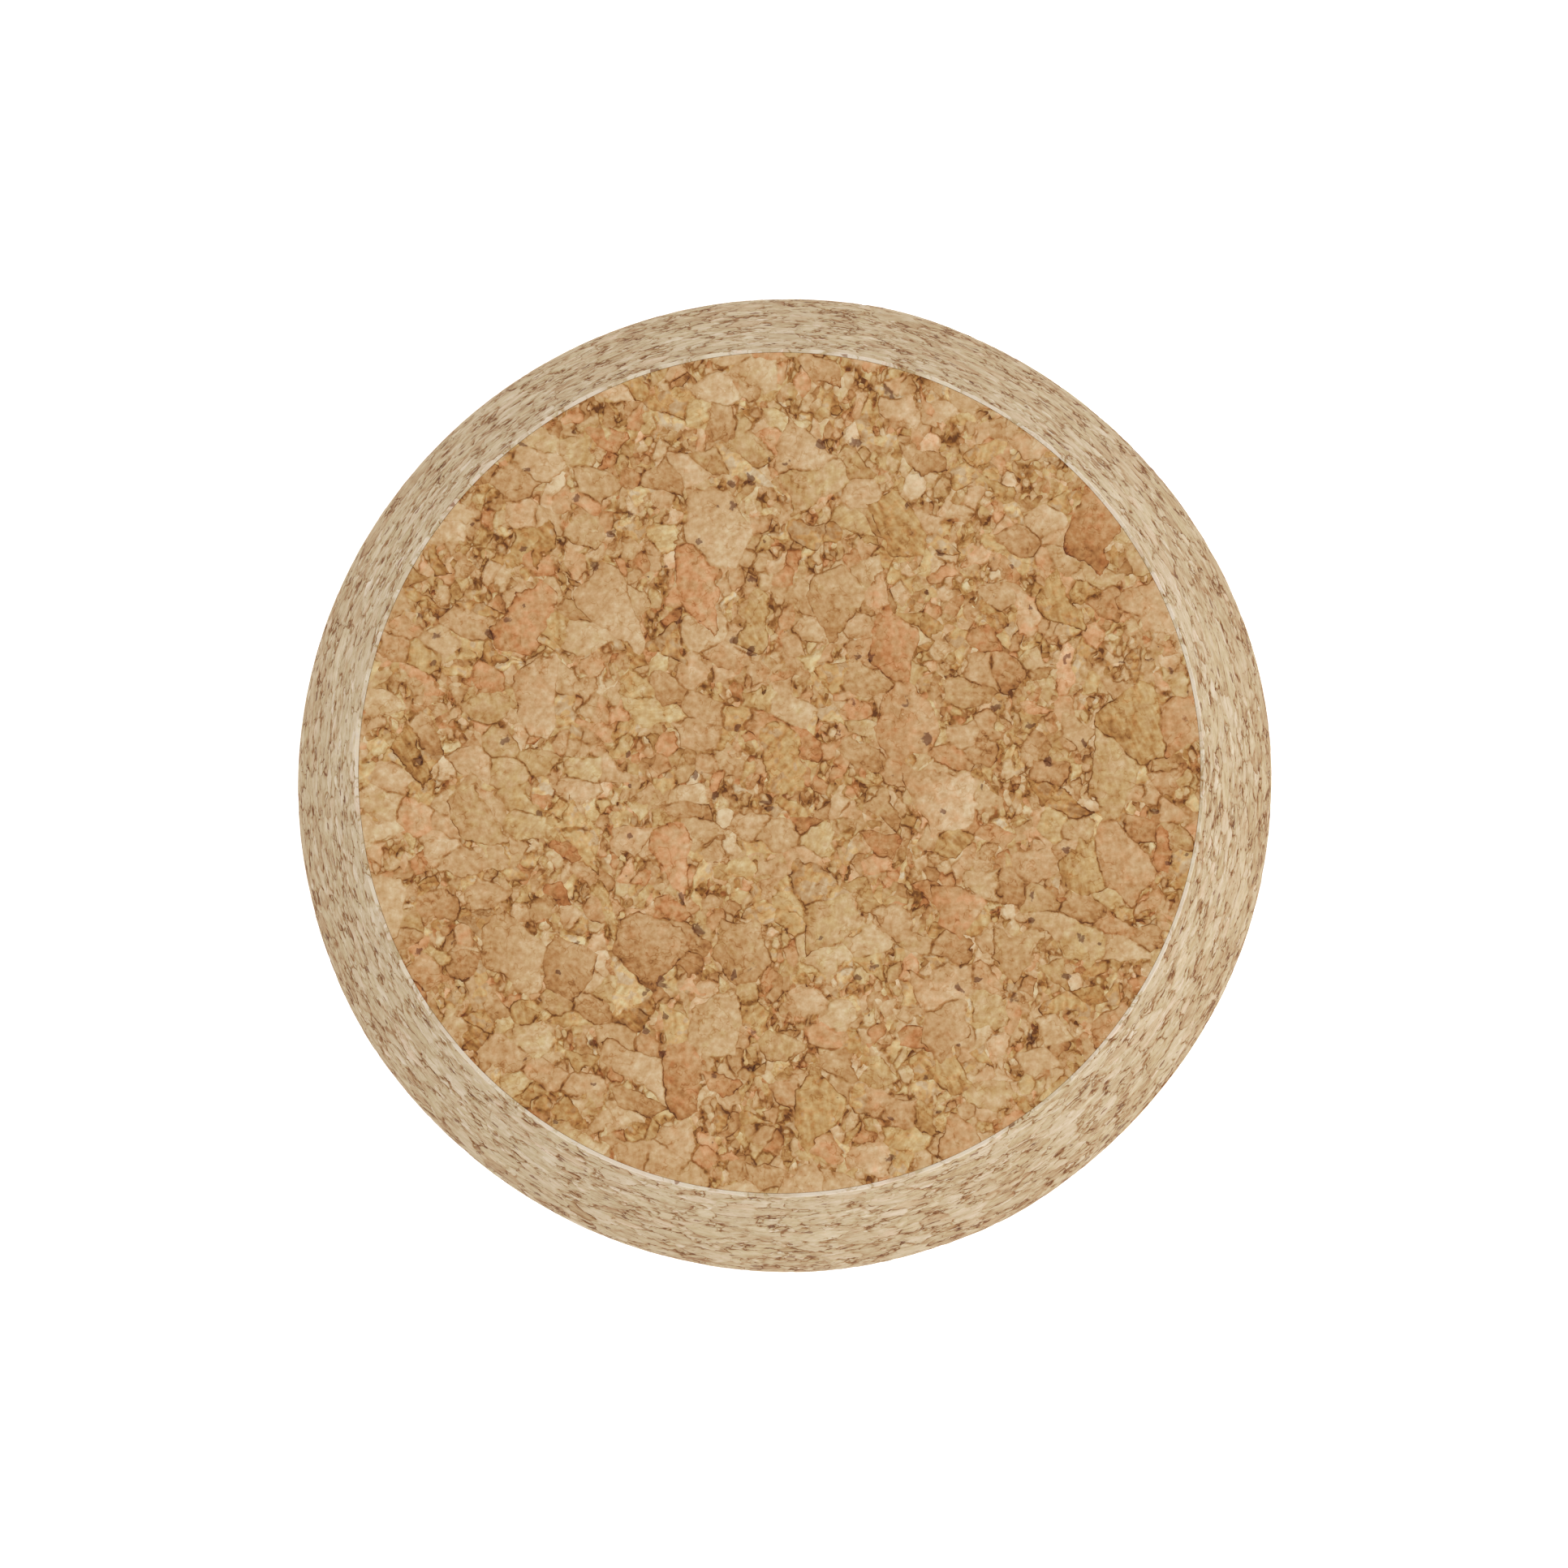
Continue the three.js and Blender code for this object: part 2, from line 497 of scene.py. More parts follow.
CREASE_WIDTH = 0.026  # how far from its middle value the wave of a crease still shows
CREASE_FADE = 0.15  # how softly creases come and go
CREASE_STRETCH = 1.2  # size of the stretches with creases, over the size of the creases' waves


def cork_creases(graph, place, cork):
    """Thin wavy creases that come and go: 1 along a crease."""
    place = place * Vector((1, 1, cork.crease_flatness)) + SEED_STEP
    wave = graph.noise(place, cork.crease_size, detail=2, roughness=0.5)["Fac"]
    off_line = graph.node("ShaderNodeMath", {"operation": "ABSOLUTE"}, {0: wave - 0.5})["Value"]
    gate = graph.noise(place + SEED_STEP, CREASE_STRETCH * cork.crease_size, detail=1)["Fac"]
    shown = graph.step(gate, cork.crease_gate, cork.crease_gate + CREASE_FADE)
    return graph.step(off_line, 0, CREASE_WIDTH, 1, 0) * shown


SPECK_WIGGLE = 0.5 * MM  # size of the wiggles in a speck's edge
SPECK_RAGGEDNESS = 0.7  # how far a speck's edge wanders, over the distance between specks
SPECK_WIDTH = 0.12  # half width of the smallest speck, over the distance between specks
SPECK_SPREAD = 0.2  # how much wider the largest is
SPECK_FADE = (0.7, 1.1)  # where a speck fades out, over its half width


def cork_specks(graph, place, cork):
    """Dark specks: 1 inside a speck."""
    cells = graph.node("ShaderNodeTexVoronoi", CELLS, {"Vector": place, "Scale": 1 / cork.speck})
    draw = graph.node("ShaderNodeSeparateXYZ", None, {"Vector": cells["Color"]})
    wiggle = graph.noise(place, SPECK_WIGGLE, detail=2)["Fac"] - 0.5
    width = SPECK_WIDTH + draw["Y"] * SPECK_SPREAD
    ragged = cells["Distance"] + wiggle * SPECK_RAGGEDNESS
    return graph.step(ragged / width, *SPECK_FADE, 1, 0) * (draw["X"] < cork.speck_share)


# Noises inside the granules
FIBRE_LENGTH = 1.8 * MM  # along a growth line
FIBRE_GAP = 0.34 * MM  # from one growth line to the next
FINE_SIZE = 0.3 * MM  # of the finest grain
HUE_SIZE = 0.9 * MM  # of the drifts of hue inside a granule
Grain = namedtuple("Grain", "fibres fine mottle hue")  # each from about -0.5 to 0.5


def cork_grain(graph, place, found, cork):
    """Growth lines, the finest grain, smudges and drifts of hue."""
    across = graph.normalised(found.lie)
    steps = graph.dot(place, across) * (1 / FIBRE_GAP)
    fibres = graph.noise(place * (1 / FIBRE_LENGTH) + across * steps, 1, detail=1)["Fac"]
    pressed = place * Vector((1, 1, cork.flatness))
    fine = graph.noise(pressed, FINE_SIZE, detail=1)["Fac"]
    mottle = graph.noise(pressed + SEED_STEP, cork.mottle_size, detail=2, roughness=0.55)["Fac"]
    hue = graph.noise(pressed - SEED_STEP, HUE_SIZE, detail=1)["Fac"]
    return Grain(fibres - 0.5, fine - 0.5, mottle - 0.5, hue - 0.5)


# Where on the scale from the deepest crack to the palest chip each of a cork's tones lies
TONE_LEVELS = (("deep", 0.06), ("dark", 0.2), ("low", 0.36), ("body", 0.5), ("light", 0.64), ("cream", 0.88))

# Hues of single granules, by how likely they are
TINTS = (
    (0.0, (1.10, 0.89, 0.82)),
    (0.07, (1.05, 0.95, 0.90)),
    (0.17, (1.025, 0.98, 0.96)),
    (0.28, (1.0, 1.0, 1.0)),
    (0.58, (0.985, 1.01, 0.98)),
    (0.72, (0.97, 1.03, 0.92)),
    (0.86, (0.99, 1.035, 0.85)),
    (0.94, (1.05, 0.98, 0.75)),
    (1.0, (0.92, 0.97, 1.02)),
)


BARK_SHARE = 0.06  # how many of the granules are bark
CHIP_SHARE = 0.1  # how many are the palest chips
BORDER_WIDTH = 0.45 * MM  # how far in from its border a granule is shaded
LINED_TINTS = (0.55, 0.85)  # places in the range of hues between which growth lines grow stronger
LINED_SHARES = (0.6, 1.8)  # how strong they are below and above
CLOUD_SIZE = 9 * MM  # size of the widest changes of tone
CLOUD_CONTRAST = 0.15
HUE_DRIFT = 0.7  # how far the hue drifts inside a granule, over the whole range of hues


def cork_level(graph, place, found, grain, cork):
    """Where on the scale of tones a place between the joints lies."""
    level = cork.brightness + (found.chance - 0.5) * cork.granule_contrast
    level = level + grain.mottle * cork.mottle_contrast
    lined = graph.step(found.tint, *LINED_TINTS, *LINED_SHARES)
    level = level + grain.fibres * (lined * cork.fibre_contrast)
    level = level - graph.step(found.chance, 0, BARK_SHARE, cork.bark_depth, 0)
    level = level + graph.step(found.chance, 1 - CHIP_SHARE, 1, 0, cork.chip_lift)
    level = level + grain.fine * cork.fine_contrast
    clouds = graph.noise(place, CLOUD_SIZE, detail=2)["Fac"] - 0.5
    level = level + clouds * CLOUD_CONTRAST
    # painted shading of each granule's tilt: paler on one side, darker on the other
    level = level + found.slope * cork.tilt_contrast
    level = level - graph.step(found.edge, 0, BORDER_WIDTH, cork.border_shade, 0)
    return level - cork_creases(graph, place, cork) * cork.crease_depth


PAINTED_FACE_SHADING = 0.05  # painted shading: how much paler than usual the skin is at the flat face, and darker at the rim
HIGHLIGHT_STRETCH_SIZE = 4 * MM  # length of the stretches along which the painted highlight on the edge of the flat face is stronger or weaker
HIGHLIGHT_STRETCHES = (0.4, 0.6)  # values of their noise between which the painted highlight grows stronger
HIGHLIGHT_LIFTS = (0.15, 0.45)  # how much paler the painted highlight makes the edge where it is weakest and strongest
HIGHLIGHT_BAND = (FACE_Z - 0.35 * MM, FACE_Z - 0.05 * MM)  # heights between which the painted highlight sets in


def painted_face_light(graph, place):
    """How much paler the skin is painted: painted shading, paler towards the flat face and darker at the rim,
    and a painted highlight that is strongest at the face's edge.
    """
    height = graph.node("ShaderNodeSeparateXYZ", None, {"Vector": place})["Z"]
    stretches = graph.noise(place, HIGHLIGHT_STRETCH_SIZE, detail=2)["Fac"]
    # strength of the painted highlight, which changes from stretch to stretch along the edge
    lift = graph.step(stretches, *HIGHLIGHT_STRETCHES, *HIGHLIGHT_LIFTS)
    # painted shading: darker at the rim, paler at the flat face
    upward = graph.step(height, RIM_Z, FACE_Z, -PAINTED_FACE_SHADING, PAINTED_FACE_SHADING)
    # painted highlight along the edge of the flat face
    return upward + graph.step(height, *HIGHLIGHT_BAND) * lift


def cork_colour(graph, level, tint, specks, cork):
    """The colour of a place on the scale of tones, in its granule's hue, with the specks as stains."""
    stops = [(at, tuple(getattr(cork, name))) for name, at in TONE_LEVELS]
    colour = graph.node("ShaderNodeValToRGB", {"stops": stops}, {"Fac": level})["Color"]
    tint = graph.node("ShaderNodeValToRGB", {"stops": TINTS}, {"Fac": tint})["Color"]
    stain = graph.tinted(WHITE, (*cork.speck_stain, 1), specks * cork.speck_strength)
    return colour * graph.tinted(WHITE, tint, cork.hue_share) * stain


# Heights in the fine bump, over the cork's relief
STEP_BUMP = 0.25
SPECK_BUMP = 0.6
FIBRE_BUMP = 0.12
FINE_BUMP = 0.35
BUMP_STRENGTH = 0.6
ROUGHNESS_CHANGE = 0.1  # how much rougher joints are, and how far grain and mottle change it


def cork_material(name, cork, dust=0, painted_light=False):
    """Cut or sanded agglomerated cork. Dust gives it a soft sheen."""
    material = bpy.data.materials.new(name)
    material.use_nodes = True
    material.node_tree.nodes.clear()
    graph = Graph(material.node_tree)
    place = graph.node("ShaderNodeTexCoord")["Object"]
    found, ragged_place = cork_block(graph, place, cork)
    joints = cork_joints(graph, place, found, cork)
    specks = cork_specks(graph, ragged_place, cork)
    grain = cork_grain(graph, place, found, cork)

    level = cork_level(graph, place, found, grain, cork) - joints * cork.joint_depth
    # painted shading towards the flat face and a painted highlight along its edge
    if painted_light:
        level = level + painted_face_light(graph, place)
    tint = found.tint + grain.hue * HUE_DRIFT

    height = (found.chance - 0.5) * STEP_BUMP - joints - specks * SPECK_BUMP
    height = (height + grain.fibres * FIBRE_BUMP + grain.fine * FINE_BUMP) * cork.relief
    bump = graph.node("ShaderNodeBump", None, {"Strength": BUMP_STRENGTH, "Distance": 1, "Height": height})
    inputs = {
        "Base Color": cork_colour(graph, level, tint, specks, cork),
        "Roughness": cork.roughness + (joints + grain.fine) * ROUGHNESS_CHANGE,
        "Normal": bump["Normal"],
        "Specular IOR Level": 0.3,
        "Sheen Weight": dust,
        "Sheen Roughness": 0.5,
    }
    shader = graph.node("ShaderNodeBsdfPrincipled", None, inputs)
    graph.node("ShaderNodeOutputMaterial", None, {"Surface": shader["BSDF"]})
    return material


def pale_cork(cork):
    """The skin's material, which the collar and the dome share."""
    name = "Pale Cork"
    # the skin gets painted shading and a painted highlight towards the flat face
    return bpy.data.materials.get(name) or cork_material(name, cork, dust=0.05, painted_light=True)


# ---------------------------------------------------------------------------------------------
# Turned pieces
# ---------------------------------------------------------------------------------------------


class Outline:
    """The half section of a turned piece, as rings of (radius, height, spacing, how far it shows)."""

    def __init__(self, radius, height, spacing, shown=0.0):
        self.rings = [(radius, height, spacing, shown)]

    def line_to(self, radius, height, spacing, shown=0.0):
        r0, z0 = self.rings[-1][:2]
        steps = max(1, round(math.hypot(radius - r0, height - z0) / spacing))
        for i in range(1, steps + 1):
            part = i / steps
            self.rings.append((r0 + (radius - r0) * part, z0 + (height - z0) * part, spacing, shown))

    def arc_to(self, centre, radius, end, spacing, shown=0.0):
        """Follows a circle about centre, a (radius, height) point, to the angle end from the horizontal."""
        r0, z0 = self.rings[-1][:2]
        start = math.atan2(z0 - centre[1], r0 - centre[0])
        steps = max(1, round(abs(end - start) * radius / spacing))
        for i in range(1, steps + 1):
            turn = start + (end - start) * i / steps
            r = centre[0] + radius * math.cos(turn)
            self.rings.append((r, centre[1] + radius * math.sin(turn), spacing, shown))


ON_AXIS = 1e-7  # a ring of a smaller radius is one point
FEWEST_POINTS = 24  # in any other ring
SHARP_ANGLE = math.radians(25)  # an outline that turns by more than this has a sharp corner


def turned(name, outline, closed=False):
    """A mesh object turned from an outline. Rings keep an even spacing, so their counts differ."""
    rings = outline.rings[:-1] if closed else outline.rings
    points, shown, starts, counts = [], [], [], []
    for radius, height, spacing, show in rings:
        count = 1 if radius < ON_AXIS else max(FEWEST_POINTS, round(2 * math.pi * radius / spacing))
        angles = np.arange(count) * (2 * math.pi / count)
        starts.append(len(shown))
        counts.append(count)
        heights = np.full(count, height)
        points.append(np.stack([radius * np.cos(angles), radius * np.sin(angles), heights], axis=1))
        shown.extend([show] * count)
    faces = []
    pairs = len(rings) if closed else len(rings) - 1
    for k in range(pairs):
        after = (k + 1) % len(rings)
        faces.extend(zipped(starts[k], counts[k], starts[after], counts[after]))
    points = np.concatenate(points)
    faces = np.array(faces)
    corners = points[faces]
    volume = np.einsum("ij,ij->", corners[:, 0], np.cross(corners[:, 1], corners[:, 2]))
    if volume < 0:
        faces = faces[:, ::-1]
    mesh = bpy.data.meshes.new(name)
    mesh.from_pydata(points.tolist(), [], faces.tolist())
    mesh.attributes.new("shown", "FLOAT", "POINT").data.foreach_set("value", shown)
    mesh.shade_smooth()
    mesh.set_sharp_from_angle(angle=SHARP_ANGLE)
    made = bpy.data.objects.new(name, mesh)
    bpy.context.scene.collection.objects.link(made)
    return made


def zipped(start_a, count_a, start_b, count_b):
    """Triangles between two rings of any counts, whose points start at the same angle."""
    i = j = 0
    while i < count_a or j < count_b:
        a, b = start_a + i % count_a, start_b + j % count_b
        next_a = (i + 1) / count_a if i < count_a and count_a > 1 else math.inf
        next_b = (j + 1) / count_b if j < count_b and count_b > 1 else math.inf
        if next_a == next_b == math.inf:
            return
        if next_a <= next_b:
            i += 1
            yield a, start_a + i % count_a, b
        else:
            j += 1
            yield a, start_b + j % count_b, b


# Places on the rim that hands have worn: bearing in degrees, depth in millimetres, less than nothing for
# a proud place, and how far round it reaches in degrees
WORN_PLACES = (
    (50, 0.27, 16),
    (320, 0.25, 14),
    (235, 0.14, 14),
    (130, 0.10, 30),
    (12, -0.12, 14),
    (76, -0.12, 9),
    (210, -0.12, 10),
    (275, -0.12, 12),
    (298, -0.12, 8),
)
WORN_HEIGHT = 9 * MM  # how far up and down the wear reaches from the rim


def wear(made):
    """Rubs the rim of a turned piece a little out of round."""
    mesh = made.data
    points = np.empty(len(mesh.vertices) * 3)
    shown = np.empty(len(mesh.vertices))
    mesh.vertices.foreach_get("co", points)
    mesh.attributes["shown"].data.foreach_get("value", shown)
    points = points.reshape(-1, 3)
    radius = np.hypot(points[:, 0], points[:, 1])
    bearing = np.degrees(np.arctan2(points[:, 1], points[:, 0]))
    depth = np.zeros(len(points))
    for at, millimetres, reach in WORN_PLACES:
        away = (bearing - at + 180) % 360 - 180
        depth += millimetres * MM * np.exp(-((away / reach) ** 2))
    depth *= np.exp(-(((points[:, 2] - RIM_Z) / WORN_HEIGHT) ** 2)) * shown
    points[:, :2] *= (1 - depth / np.maximum(radius, ON_AXIS))[:, None]
    mesh.vertices.foreach_set("co", points.ravel())


# Settings of the cork that the relief's node tree takes as inputs
RELIEF_INPUTS = ("large", "middle", "small", "crumb", "joint", "speck", "relief")


def node_group(name, sizes):
    """A Geometry Nodes tree with a geometry, sizes and a material as its inputs."""
    tree = bpy.data.node_groups.new(name, "GeometryNodeTree")
    tree.interface.new_socket("Geometry", in_out="INPUT", socket_type="NodeSocketGeometry")
    for size in sizes:
        tree.interface.new_socket(size, in_out="INPUT", socket_type="NodeSocketFloat")
    tree.interface.new_socket("Material", in_out="INPUT", socket_type="NodeSocketMaterial")
    tree.interface.new_socket("Geometry", in_out="OUTPUT", socket_type="NodeSocketGeometry")
    graph = Graph(tree)
    return tree, graph, graph.node("NodeGroupInput")


def moved_and_painted(graph, given, offset):
    """Ends a tree: the given points moved by the offset where they show, and the material set."""
    settings = {"data_type": "FLOAT"}
    shown = graph.node("GeometryNodeInputNamedAttribute", settings, {"Name": "shown"})["Attribute"]
    inputs = {"Geometry": given["Geometry"], "Offset": offset * shown}
    moved = graph.node("GeometryNodeSetPosition", None, inputs)["Geometry"]
    real = graph.node("GeometryNodeRealizeInstances", None, {"Geometry": moved})["Geometry"]
    inputs = {"Geometry": real, "Material": given["Material"]}
    finished = graph.node("GeometryNodeSetMaterial", None, inputs)["Geometry"]
    graph.node("NodeGroupOutput", None, {"Geometry": finished})


# Heights in the relief's geometry, over the cork's relief
STEP_RELIEF = 0.5
SLOPE_RELIEF = 0.6
SPECK_RELIEF = 0.6


def relief_tree(cork):
    """Geometry Nodes that press the joints and steps of the cork's granules into a surface."""
    labels = {name: CORK_SETTINGS[name][1] for name in RELIEF_INPUTS}
    tree, graph, given = node_group("Cork Relief", labels.values())
    cork = SimpleNamespace(**{name: getattr(cork, name) for name in CORK_SETTINGS})
    for name, label in labels.items():
        setattr(cork, name, given[label])
    place = graph.node("GeometryNodeInputPosition")["Position"]
    found, ragged_place = cork_block(graph, place, cork)
    joints = cork_joints(graph, place, found, cork)
    specks = cork_specks(graph, ragged_place, cork)
    height = (found.chance - 0.5) * STEP_RELIEF + found.slope * SLOPE_RELIEF
    height = height - joints - specks * SPECK_RELIEF
    normal = graph.node("GeometryNodeInputNormal")["Normal"]
    moved_and_painted(graph, given, normal * (height * cork.relief))
    return tree


def in_relief(made, cork, material):
    """Gives a turned piece its cork's relief and material."""
    sizes = {CORK_SETTINGS[name][1]: getattr(cork, name) for name in RELIEF_INPUTS}
    grown(made, relief_tree(cork), {**sizes, "Material": material})


NOISE_TO_REACH = 4  # a noise seldom strays further from its middle than a quarter


def bead_tree():
    """Geometry Nodes that let a bead of glue wander in and out along its ring."""
    tree, graph, given = node_group("Glue Bead", ("Unevenness", "Lump"))
    place = graph.node("GeometryNodeInputPosition")["Position"]
    lumps = graph.noise(place + SEED_STEP, given["Lump"], detail=2)["Fac"]
    outward = graph.normalised(place * Vector((1, 1, 0)))
    moved_and_painted(graph, given, outward * ((lumps - 0.5) * NOISE_TO_REACH * given["Unevenness"]))
    return tree


def grown(made, tree, values):
    """Runs a node tree on an object, with inputs given by name, and keeps the result as a plain mesh."""
    modifier = made.modifiers.new(tree.name, "NODES")
    modifier.node_group = tree
    for item in tree.interface.items_tree:
        if item.item_type == "SOCKET" and item.in_out == "INPUT" and item.name in values:
            modifier[item.identifier] = values[item.name]
    graph = bpy.context.evaluated_depsgraph_get()
    mesh = bpy.data.meshes.new_from_object(made.evaluated_get(graph))
    made.modifiers.clear()
    old = made.data
    made.data = mesh
    bpy.data.meshes.remove(old)
    mesh.name = made.name


def settled(made, node):
    """A finished piece takes its CAD node's place."""
    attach(made, "root")
    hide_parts(node)


def painted(node, material):
    """A CAD node that keeps its shape gets its material."""
    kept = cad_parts[node]
    kept.data.materials.clear()
    kept.data.materials.append(material)


# ---------------------------------------------------------------------------------------------
# Operators
# ---------------------------------------------------------------------------------------------

HIDDEN = 2.5 * MM  # spacing of the rings where a piece is covered by its neighbours
BEAD_SIDES = 6  # sides of the rounded part of the glue bead's section


class MASSAGE_BALL_OT_palm_disc(bpy.types.Operator):
    """Makes the coarse cork disc of the flat face"""

    bl_idname = "massage_ball.palm_disc"
    bl_label = "Palm Disc"

    def execute(self, context):
        ball = context.scene.massage_ball
        fine = 0.20 * MM
        radius = DISC_HIGH.x + ball.shape.disc_fit * ball.shape.clearance
        edge = ball.shape.disc_edge
        outline = Outline(0, FACE_Z, fine, 1)
        outline.line_to(radius - edge, FACE_Z, fine, 1)
        outline.line_to(radius, FACE_Z - edge, fine, 0)
        outline.line_to(radius, DISC_BOTTOM_Z, HIDDEN)
        outline.line_to(0, DISC_BOTTOM_Z, HIDDEN)
        made = turned("palm_disc_cork", outline)
        in_relief(made, ball.palm_cork, cork_material("Coarse Cork", ball.palm_cork))
        settled(made, "palm_disc")
        return {"FINISHED"}


class MASSAGE_BALL_OT_collar(bpy.types.Operator):
    """Makes the tapered collar round the palm disc"""

    bl_idname = "massage_ball.collar"
    bl_label = "Collar"

    def execute(self, context):
        ball = context.scene.massage_ball
        shape = ball.shape
        fine = 0.23 * MM
        rounding = shape.rim_rounding
        recess = DISC_HIGH.x + shape.clearance
        face_radius = recess + shape.lip
        cavity = BALL_RADIUS - shape.wall
        edge = shape.edge_break
        rim_centre = (BALL_RADIUS - rounding, RIM_Z)
        bottom = math.asin((COLLAR_BOTTOM_Z + edge - RIM_Z) / rounding)
        rim_radius = rim_centre[0] + rounding * math.cos(bottom)
        outline = Outline(rim_radius - edge, COLLAR_BOTTOM_Z, fine, 0)
        outline.line_to(rim_radius, COLLAR_BOTTOM_Z + edge, fine, 0.5)
        outline.arc_to(rim_centre, rounding, shape.taper, fine, 1)
        outline.line_to(face_radius, FACE_Z, fine, 1)
        outline.line_to(recess, FACE_Z, fine, 0)
        outline.line_to(recess, LEDGE_Z, HIDDEN)
        ledge_angle = math.asin((LEDGE_Z - RIM_Z) / cavity)
        outline.line_to(cavity * math.cos(ledge_angle), LEDGE_Z, HIDDEN)
        outline.arc_to((0, RIM_Z), cavity, math.asin((SPIGOT_BOTTOM_Z - RIM_Z) / cavity), HIDDEN)
        outline.line_to(cavity + shape.spigot, SPIGOT_BOTTOM_Z, HIDDEN)
        outline.line_to(cavity + shape.spigot, COLLAR_BOTTOM_Z, HIDDEN)
        outline.line_to(rim_radius - edge, COLLAR_BOTTOM_Z, HIDDEN)
        made = turned("collar_cork", outline, closed=True)
        wear(made)
        in_relief(made, ball.skin_cork, pale_cork(ball.skin_cork))
        settled(made, "collar")
        return {"FINISHED"}


class MASSAGE_BALL_OT_dome(bpy.types.Operator):
    """Makes the round working side"""

    bl_idname = "massage_ball.dome"
    bl_label = "Dome"

    def execute(self, context):
        ball = context.scene.massage_ball
        shape = ball.shape
        fine = 0.34 * MM
        centre = (0, RIM_Z)
        cavity = BALL_RADIUS - shape.wall
        rebate = cavity + shape.spigot + shape.clearance
        rebate_floor = SPIGOT_BOTTOM_Z - shape.clearance
        top = -math.asin(shape.edge_break / BALL_RADIUS)
        outline = Outline(0, DOME_LOW.z, fine, 0)
        outline.line_to(shape.pole_flat, DOME_LOW.z, fine, 0)
        outline.arc_to(centre, BALL_RADIUS, top, fine, 1)
        outline.line_to(BALL_RADIUS - shape.edge_break, RIM_Z, fine, 0)
        outline.line_to(rebate, RIM_Z, HIDDEN)
        outline.line_to(rebate, rebate_floor, HIDDEN)
        inside = -math.asin((RIM_Z - rebate_floor) / cavity)
        outline.line_to(cavity * math.cos(inside), rebate_floor, HIDDEN)
        outline.arc_to(centre, cavity, -math.pi / 2, HIDDEN)
        made = turned("dome_cork", outline)
        wear(made)
        in_relief(made, ball.skin_cork, pale_cork(ball.skin_cork))
        settled(made, "dome_shell")
        return {"FINISHED"}


class MASSAGE_BALL_OT_glue_bead(bpy.types.Operator):
    """Makes the ring of glue in the seam between dome and collar"""

    bl_idname = "massage_ball.glue_bead"
    bl_label = "Glue Bead"

    def execute(self, context):
        shape = context.scene.massage_ball.shape
        fine = 0.24 * MM
        inside = BALL_RADIUS - shape.wall + shape.spigot + shape.clearance
        seam = BALL_RADIUS - shape.edge_break - shape.bead_bulge / 2
        middle = (RIM_Z + COLLAR_BOTTOM_Z) / 2
        half = (COLLAR_BOTTOM_Z - RIM_Z) / 2
        outline = Outline(inside, RIM_Z, HIDDEN)
        outline.line_to(seam, RIM_Z, HIDDEN)
        for i in range(1, BEAD_SIDES):
            turn = math.pi * (i / BEAD_SIDES - 0.5)
            height = middle + half * math.sin(turn)
            outline.line_to(seam + shape.bead_bulge * math.cos(turn), height, fine, 1)
        outline.line_to(seam, COLLAR_BOTTOM_Z, fine, 0)
        outline.line_to(inside, COLLAR_BOTTOM_Z, HIDDEN)
        outline.line_to(inside, RIM_Z, HIDDEN)
        made = turned("glue_bead", outline, closed=True)
        material = plain_material("Cured Glue", srgb("a98350"), 0.5)
        values = {"Unevenness": shape.bead_unevenness, "Lump": shape.bead_lump, "Material": material}
        grown(made, bead_tree(), values)
        settled(made, "rim_glue_ring")
        return {"FINISHED"}


class MASSAGE_BALL_OT_hidden_parts(bpy.types.Operator):
    """Finishes the foam core and the adhesive film that the cork covers"""

    bl_idname = "massage_ball.hidden_parts"
    bl_label = "Core and Film"

    def execute(self, context):
        painted("foam_core", plain_material("Foam", srgb("4b4743"), 0.9))
        painted("adhesive_disc", plain_material("Adhesive Film", srgb("e6dcc4"), 0.4))
        return {"FINISHED"}


PLAIN_MOTTLE = 1.2 * MM  # size of the paler and darker places of foam, film and glue
PLAIN_DARKEST = 0.75  # their darkest and palest colour, over the named one
PLAIN_PALEST = 1.2
PLAIN_BUMP = 0.1 * MM  # depth of their bump


def plain_material(name, colour, roughness):
    """Foam, film or glue: one colour, a little paler and darker in places."""
    material = bpy.data.materials.new(name)
    material.use_nodes = True
    material.node_tree.nodes.clear()
    graph = Graph(material.node_tree)
    place = graph.node("ShaderNodeTexCoord")["Object"]
    mottle = graph.noise(place, PLAIN_MOTTLE, detail=3)["Fac"]
    dark = (*(level * PLAIN_DARKEST for level in colour), 1)
    pale = (*(min(1, level * PLAIN_PALEST) for level in colour), 1)
    bump = graph.node("ShaderNodeBump", None, {"Strength": 0.4, "Distance": PLAIN_BUMP, "Height": mottle})
    inputs = {
        "Base Color": graph.tinted(dark, pale, mottle),
        "Roughness": roughness + (mottle - 0.5) * ROUGHNESS_CHANGE,
        "Normal": bump["Normal"],
    }
    shader = graph.node("ShaderNodeBsdfPrincipled", None, inputs)
    graph.node("ShaderNodeOutputMaterial", None, {"Surface": shader["BSDF"]})
    return material


SENSOR_WIDTH = 36  # of the camera, in millimetres


def direction(bearing, height):
    """The direction of a bearing about the axis and a height above the horizon, both angles."""
    flat = math.cos(height)
    return Vector((flat * math.cos(bearing), flat * math.sin(bearing), math.sin(height)))


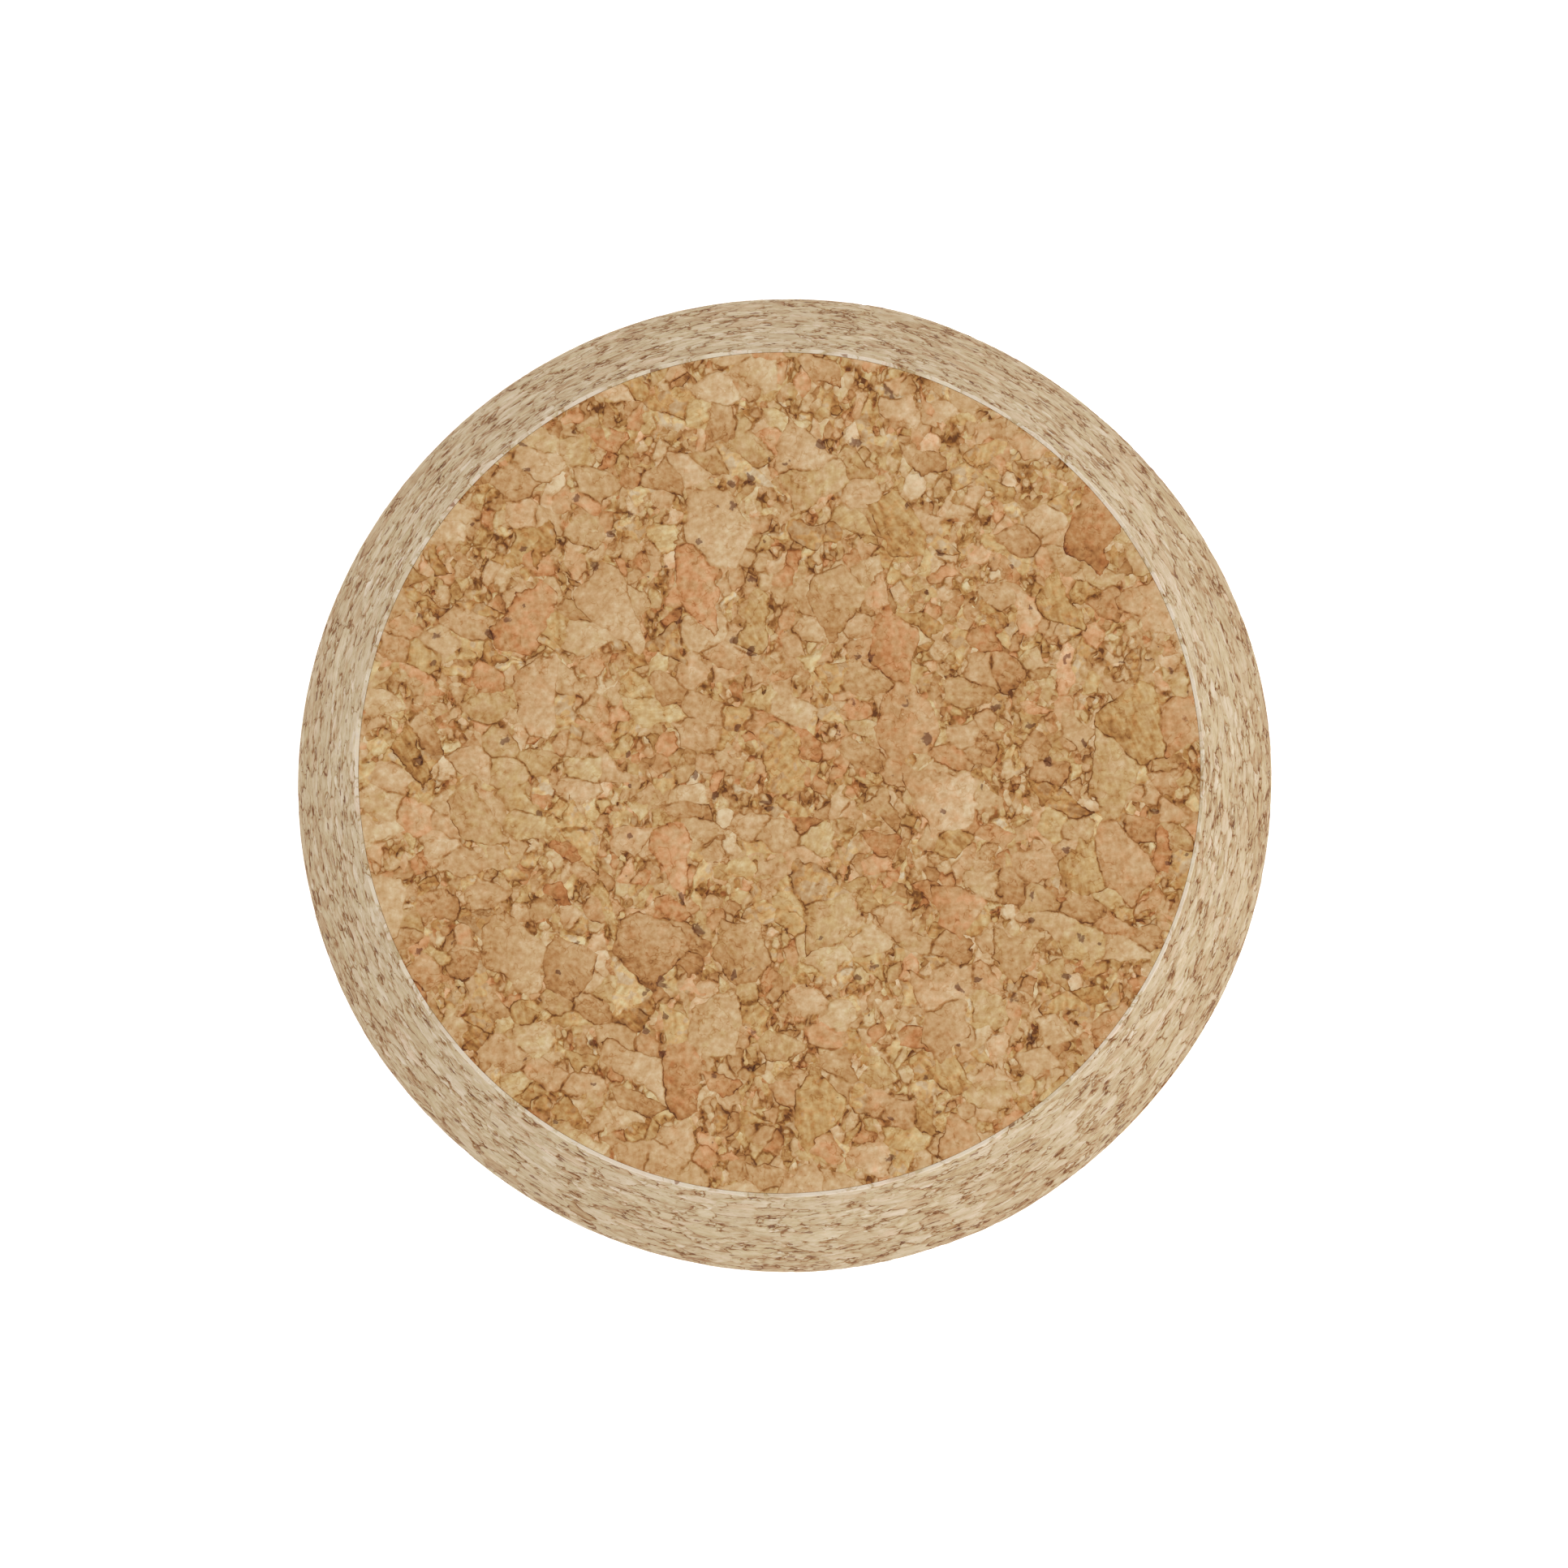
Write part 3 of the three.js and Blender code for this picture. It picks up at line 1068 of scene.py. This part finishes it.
class MASSAGE_BALL_OT_stage(bpy.types.Operator):
    """Sets up the floor, the light and the camera"""

    bl_idname = "massage_ball.stage"
    bl_label = "Stage"

    def execute(self, context):
        scene = context.scene
        studio = scene.massage_ball.studio
        self.floor(studio)
        self.surroundings(scene, studio)
        self.key(scene, studio)
        self.camera(scene, studio)
        scene.view_settings.view_transform = "Standard"
        return {"FINISHED"}

    @staticmethod
    def floor(studio):
        bpy.ops.mesh.primitive_circle_add(
            vertices=128,
            radius=studio.floor_radius,
            fill_type="NGON",
            location=(0, 0, CAD_BOX[0].z - studio.floor_gap),
        )
        made = bpy.context.object
        made.name = "floor"
        material = bpy.data.materials.new("Floor")
        material.use_nodes = True
        shader = material.node_tree.nodes["Principled BSDF"]
        shader.inputs["Base Color"].default_value = (*studio.floor_colour, 1)
        shader.inputs["Roughness"].default_value = 0.9
        shader.inputs["Emission Color"].default_value = WHITE
        shader.inputs["Emission Strength"].default_value = studio.floor_glow
        made.data.materials.append(material)

    @staticmethod
    def surroundings(scene, studio):
        world = bpy.data.worlds.new("Studio")
        world.use_nodes = True
        background = world.node_tree.nodes["Background"]
        background.inputs["Color"].default_value = WHITE
        background.inputs["Strength"].default_value = studio.sky
        scene.world = world

    @staticmethod
    def key(scene, studio):
        towards = direction(studio.key_bearing, studio.key_height)
        light = bpy.data.lights.new("key_light", "AREA")
        light.shape = "SQUARE"
        light.size = studio.key_size
        # A panel of power P seen square on from a distance d gives about P / (pi d^2).
        light.energy = studio.key_irradiance * math.pi * studio.key_distance**2
        made = bpy.data.objects.new("key_light", light)
        made.location = Vector((0, 0, RIM_Z)) + towards * studio.key_distance
        made.rotation_euler = towards.to_track_quat("Z", "Y").to_euler()
        scene.collection.objects.link(made)

    @staticmethod
    def camera(scene, studio):
        towards = direction(studio.camera_bearing, math.pi / 2 - studio.camera_tilt)
        data = bpy.data.cameras.new("camera")
        data.sensor_width = SENSOR_WIDTH
        data.lens = data.sensor_width * studio.ball_share * studio.camera_distance / (2 * BALL_RADIUS)
        data.clip_start = 10 * MM
        made = bpy.data.objects.new("camera", data)
        made.location = Vector((0, 0, RIM_Z)) + towards * studio.camera_distance
        right = Vector((0, 1, 0)).cross(towards).normalized()
        upward = towards.cross(right)
        turn = made.matrix_world.to_3x3()
        turn.col[0], turn.col[1], turn.col[2] = right, upward, towards
        made.rotation_euler = turn.to_euler()
        scene.collection.objects.link(made)
        scene.camera = made


OPERATORS = (
    MASSAGE_BALL_OT_stage,
    MASSAGE_BALL_OT_palm_disc,
    MASSAGE_BALL_OT_collar,
    MASSAGE_BALL_OT_dome,
    MASSAGE_BALL_OT_glue_bead,
    MASSAGE_BALL_OT_hidden_parts,
)


class MASSAGE_BALL_PT_build(bpy.types.Panel):
    """Lists the steps and the settings in the sidebar"""

    bl_idname = "MASSAGE_BALL_PT_build"
    bl_label = "Massage Ball"
    bl_space_type = "VIEW_3D"
    bl_region_type = "UI"
    bl_category = "Massage Ball"

    def draw(self, context):
        ball = context.scene.massage_ball
        for operator in OPERATORS:
            self.layout.operator(operator.bl_idname)
        for group in (ball.shape, ball.palm_cork, ball.skin_cork, ball.studio):
            box = self.layout.box()
            for name in group.__annotations__:
                box.prop(group, name)


CLASSES = (BallShape, PalmCork, SkinCork, Studio, MassageBall, *OPERATORS, MASSAGE_BALL_PT_build)


def register():
    for cls in CLASSES:
        bpy.utils.register_class(cls)
    bpy.types.Scene.massage_ball = PointerProperty(type=MassageBall)


def unregister():
    del bpy.types.Scene.massage_ball
    for cls in reversed(CLASSES):
        bpy.utils.unregister_class(cls)


def main():
    register()
    for operator in OPERATORS:
        group, name = operator.bl_idname.split(".")
        getattr(getattr(bpy.ops, group), name)()


if __name__ == "__main__":
    main()
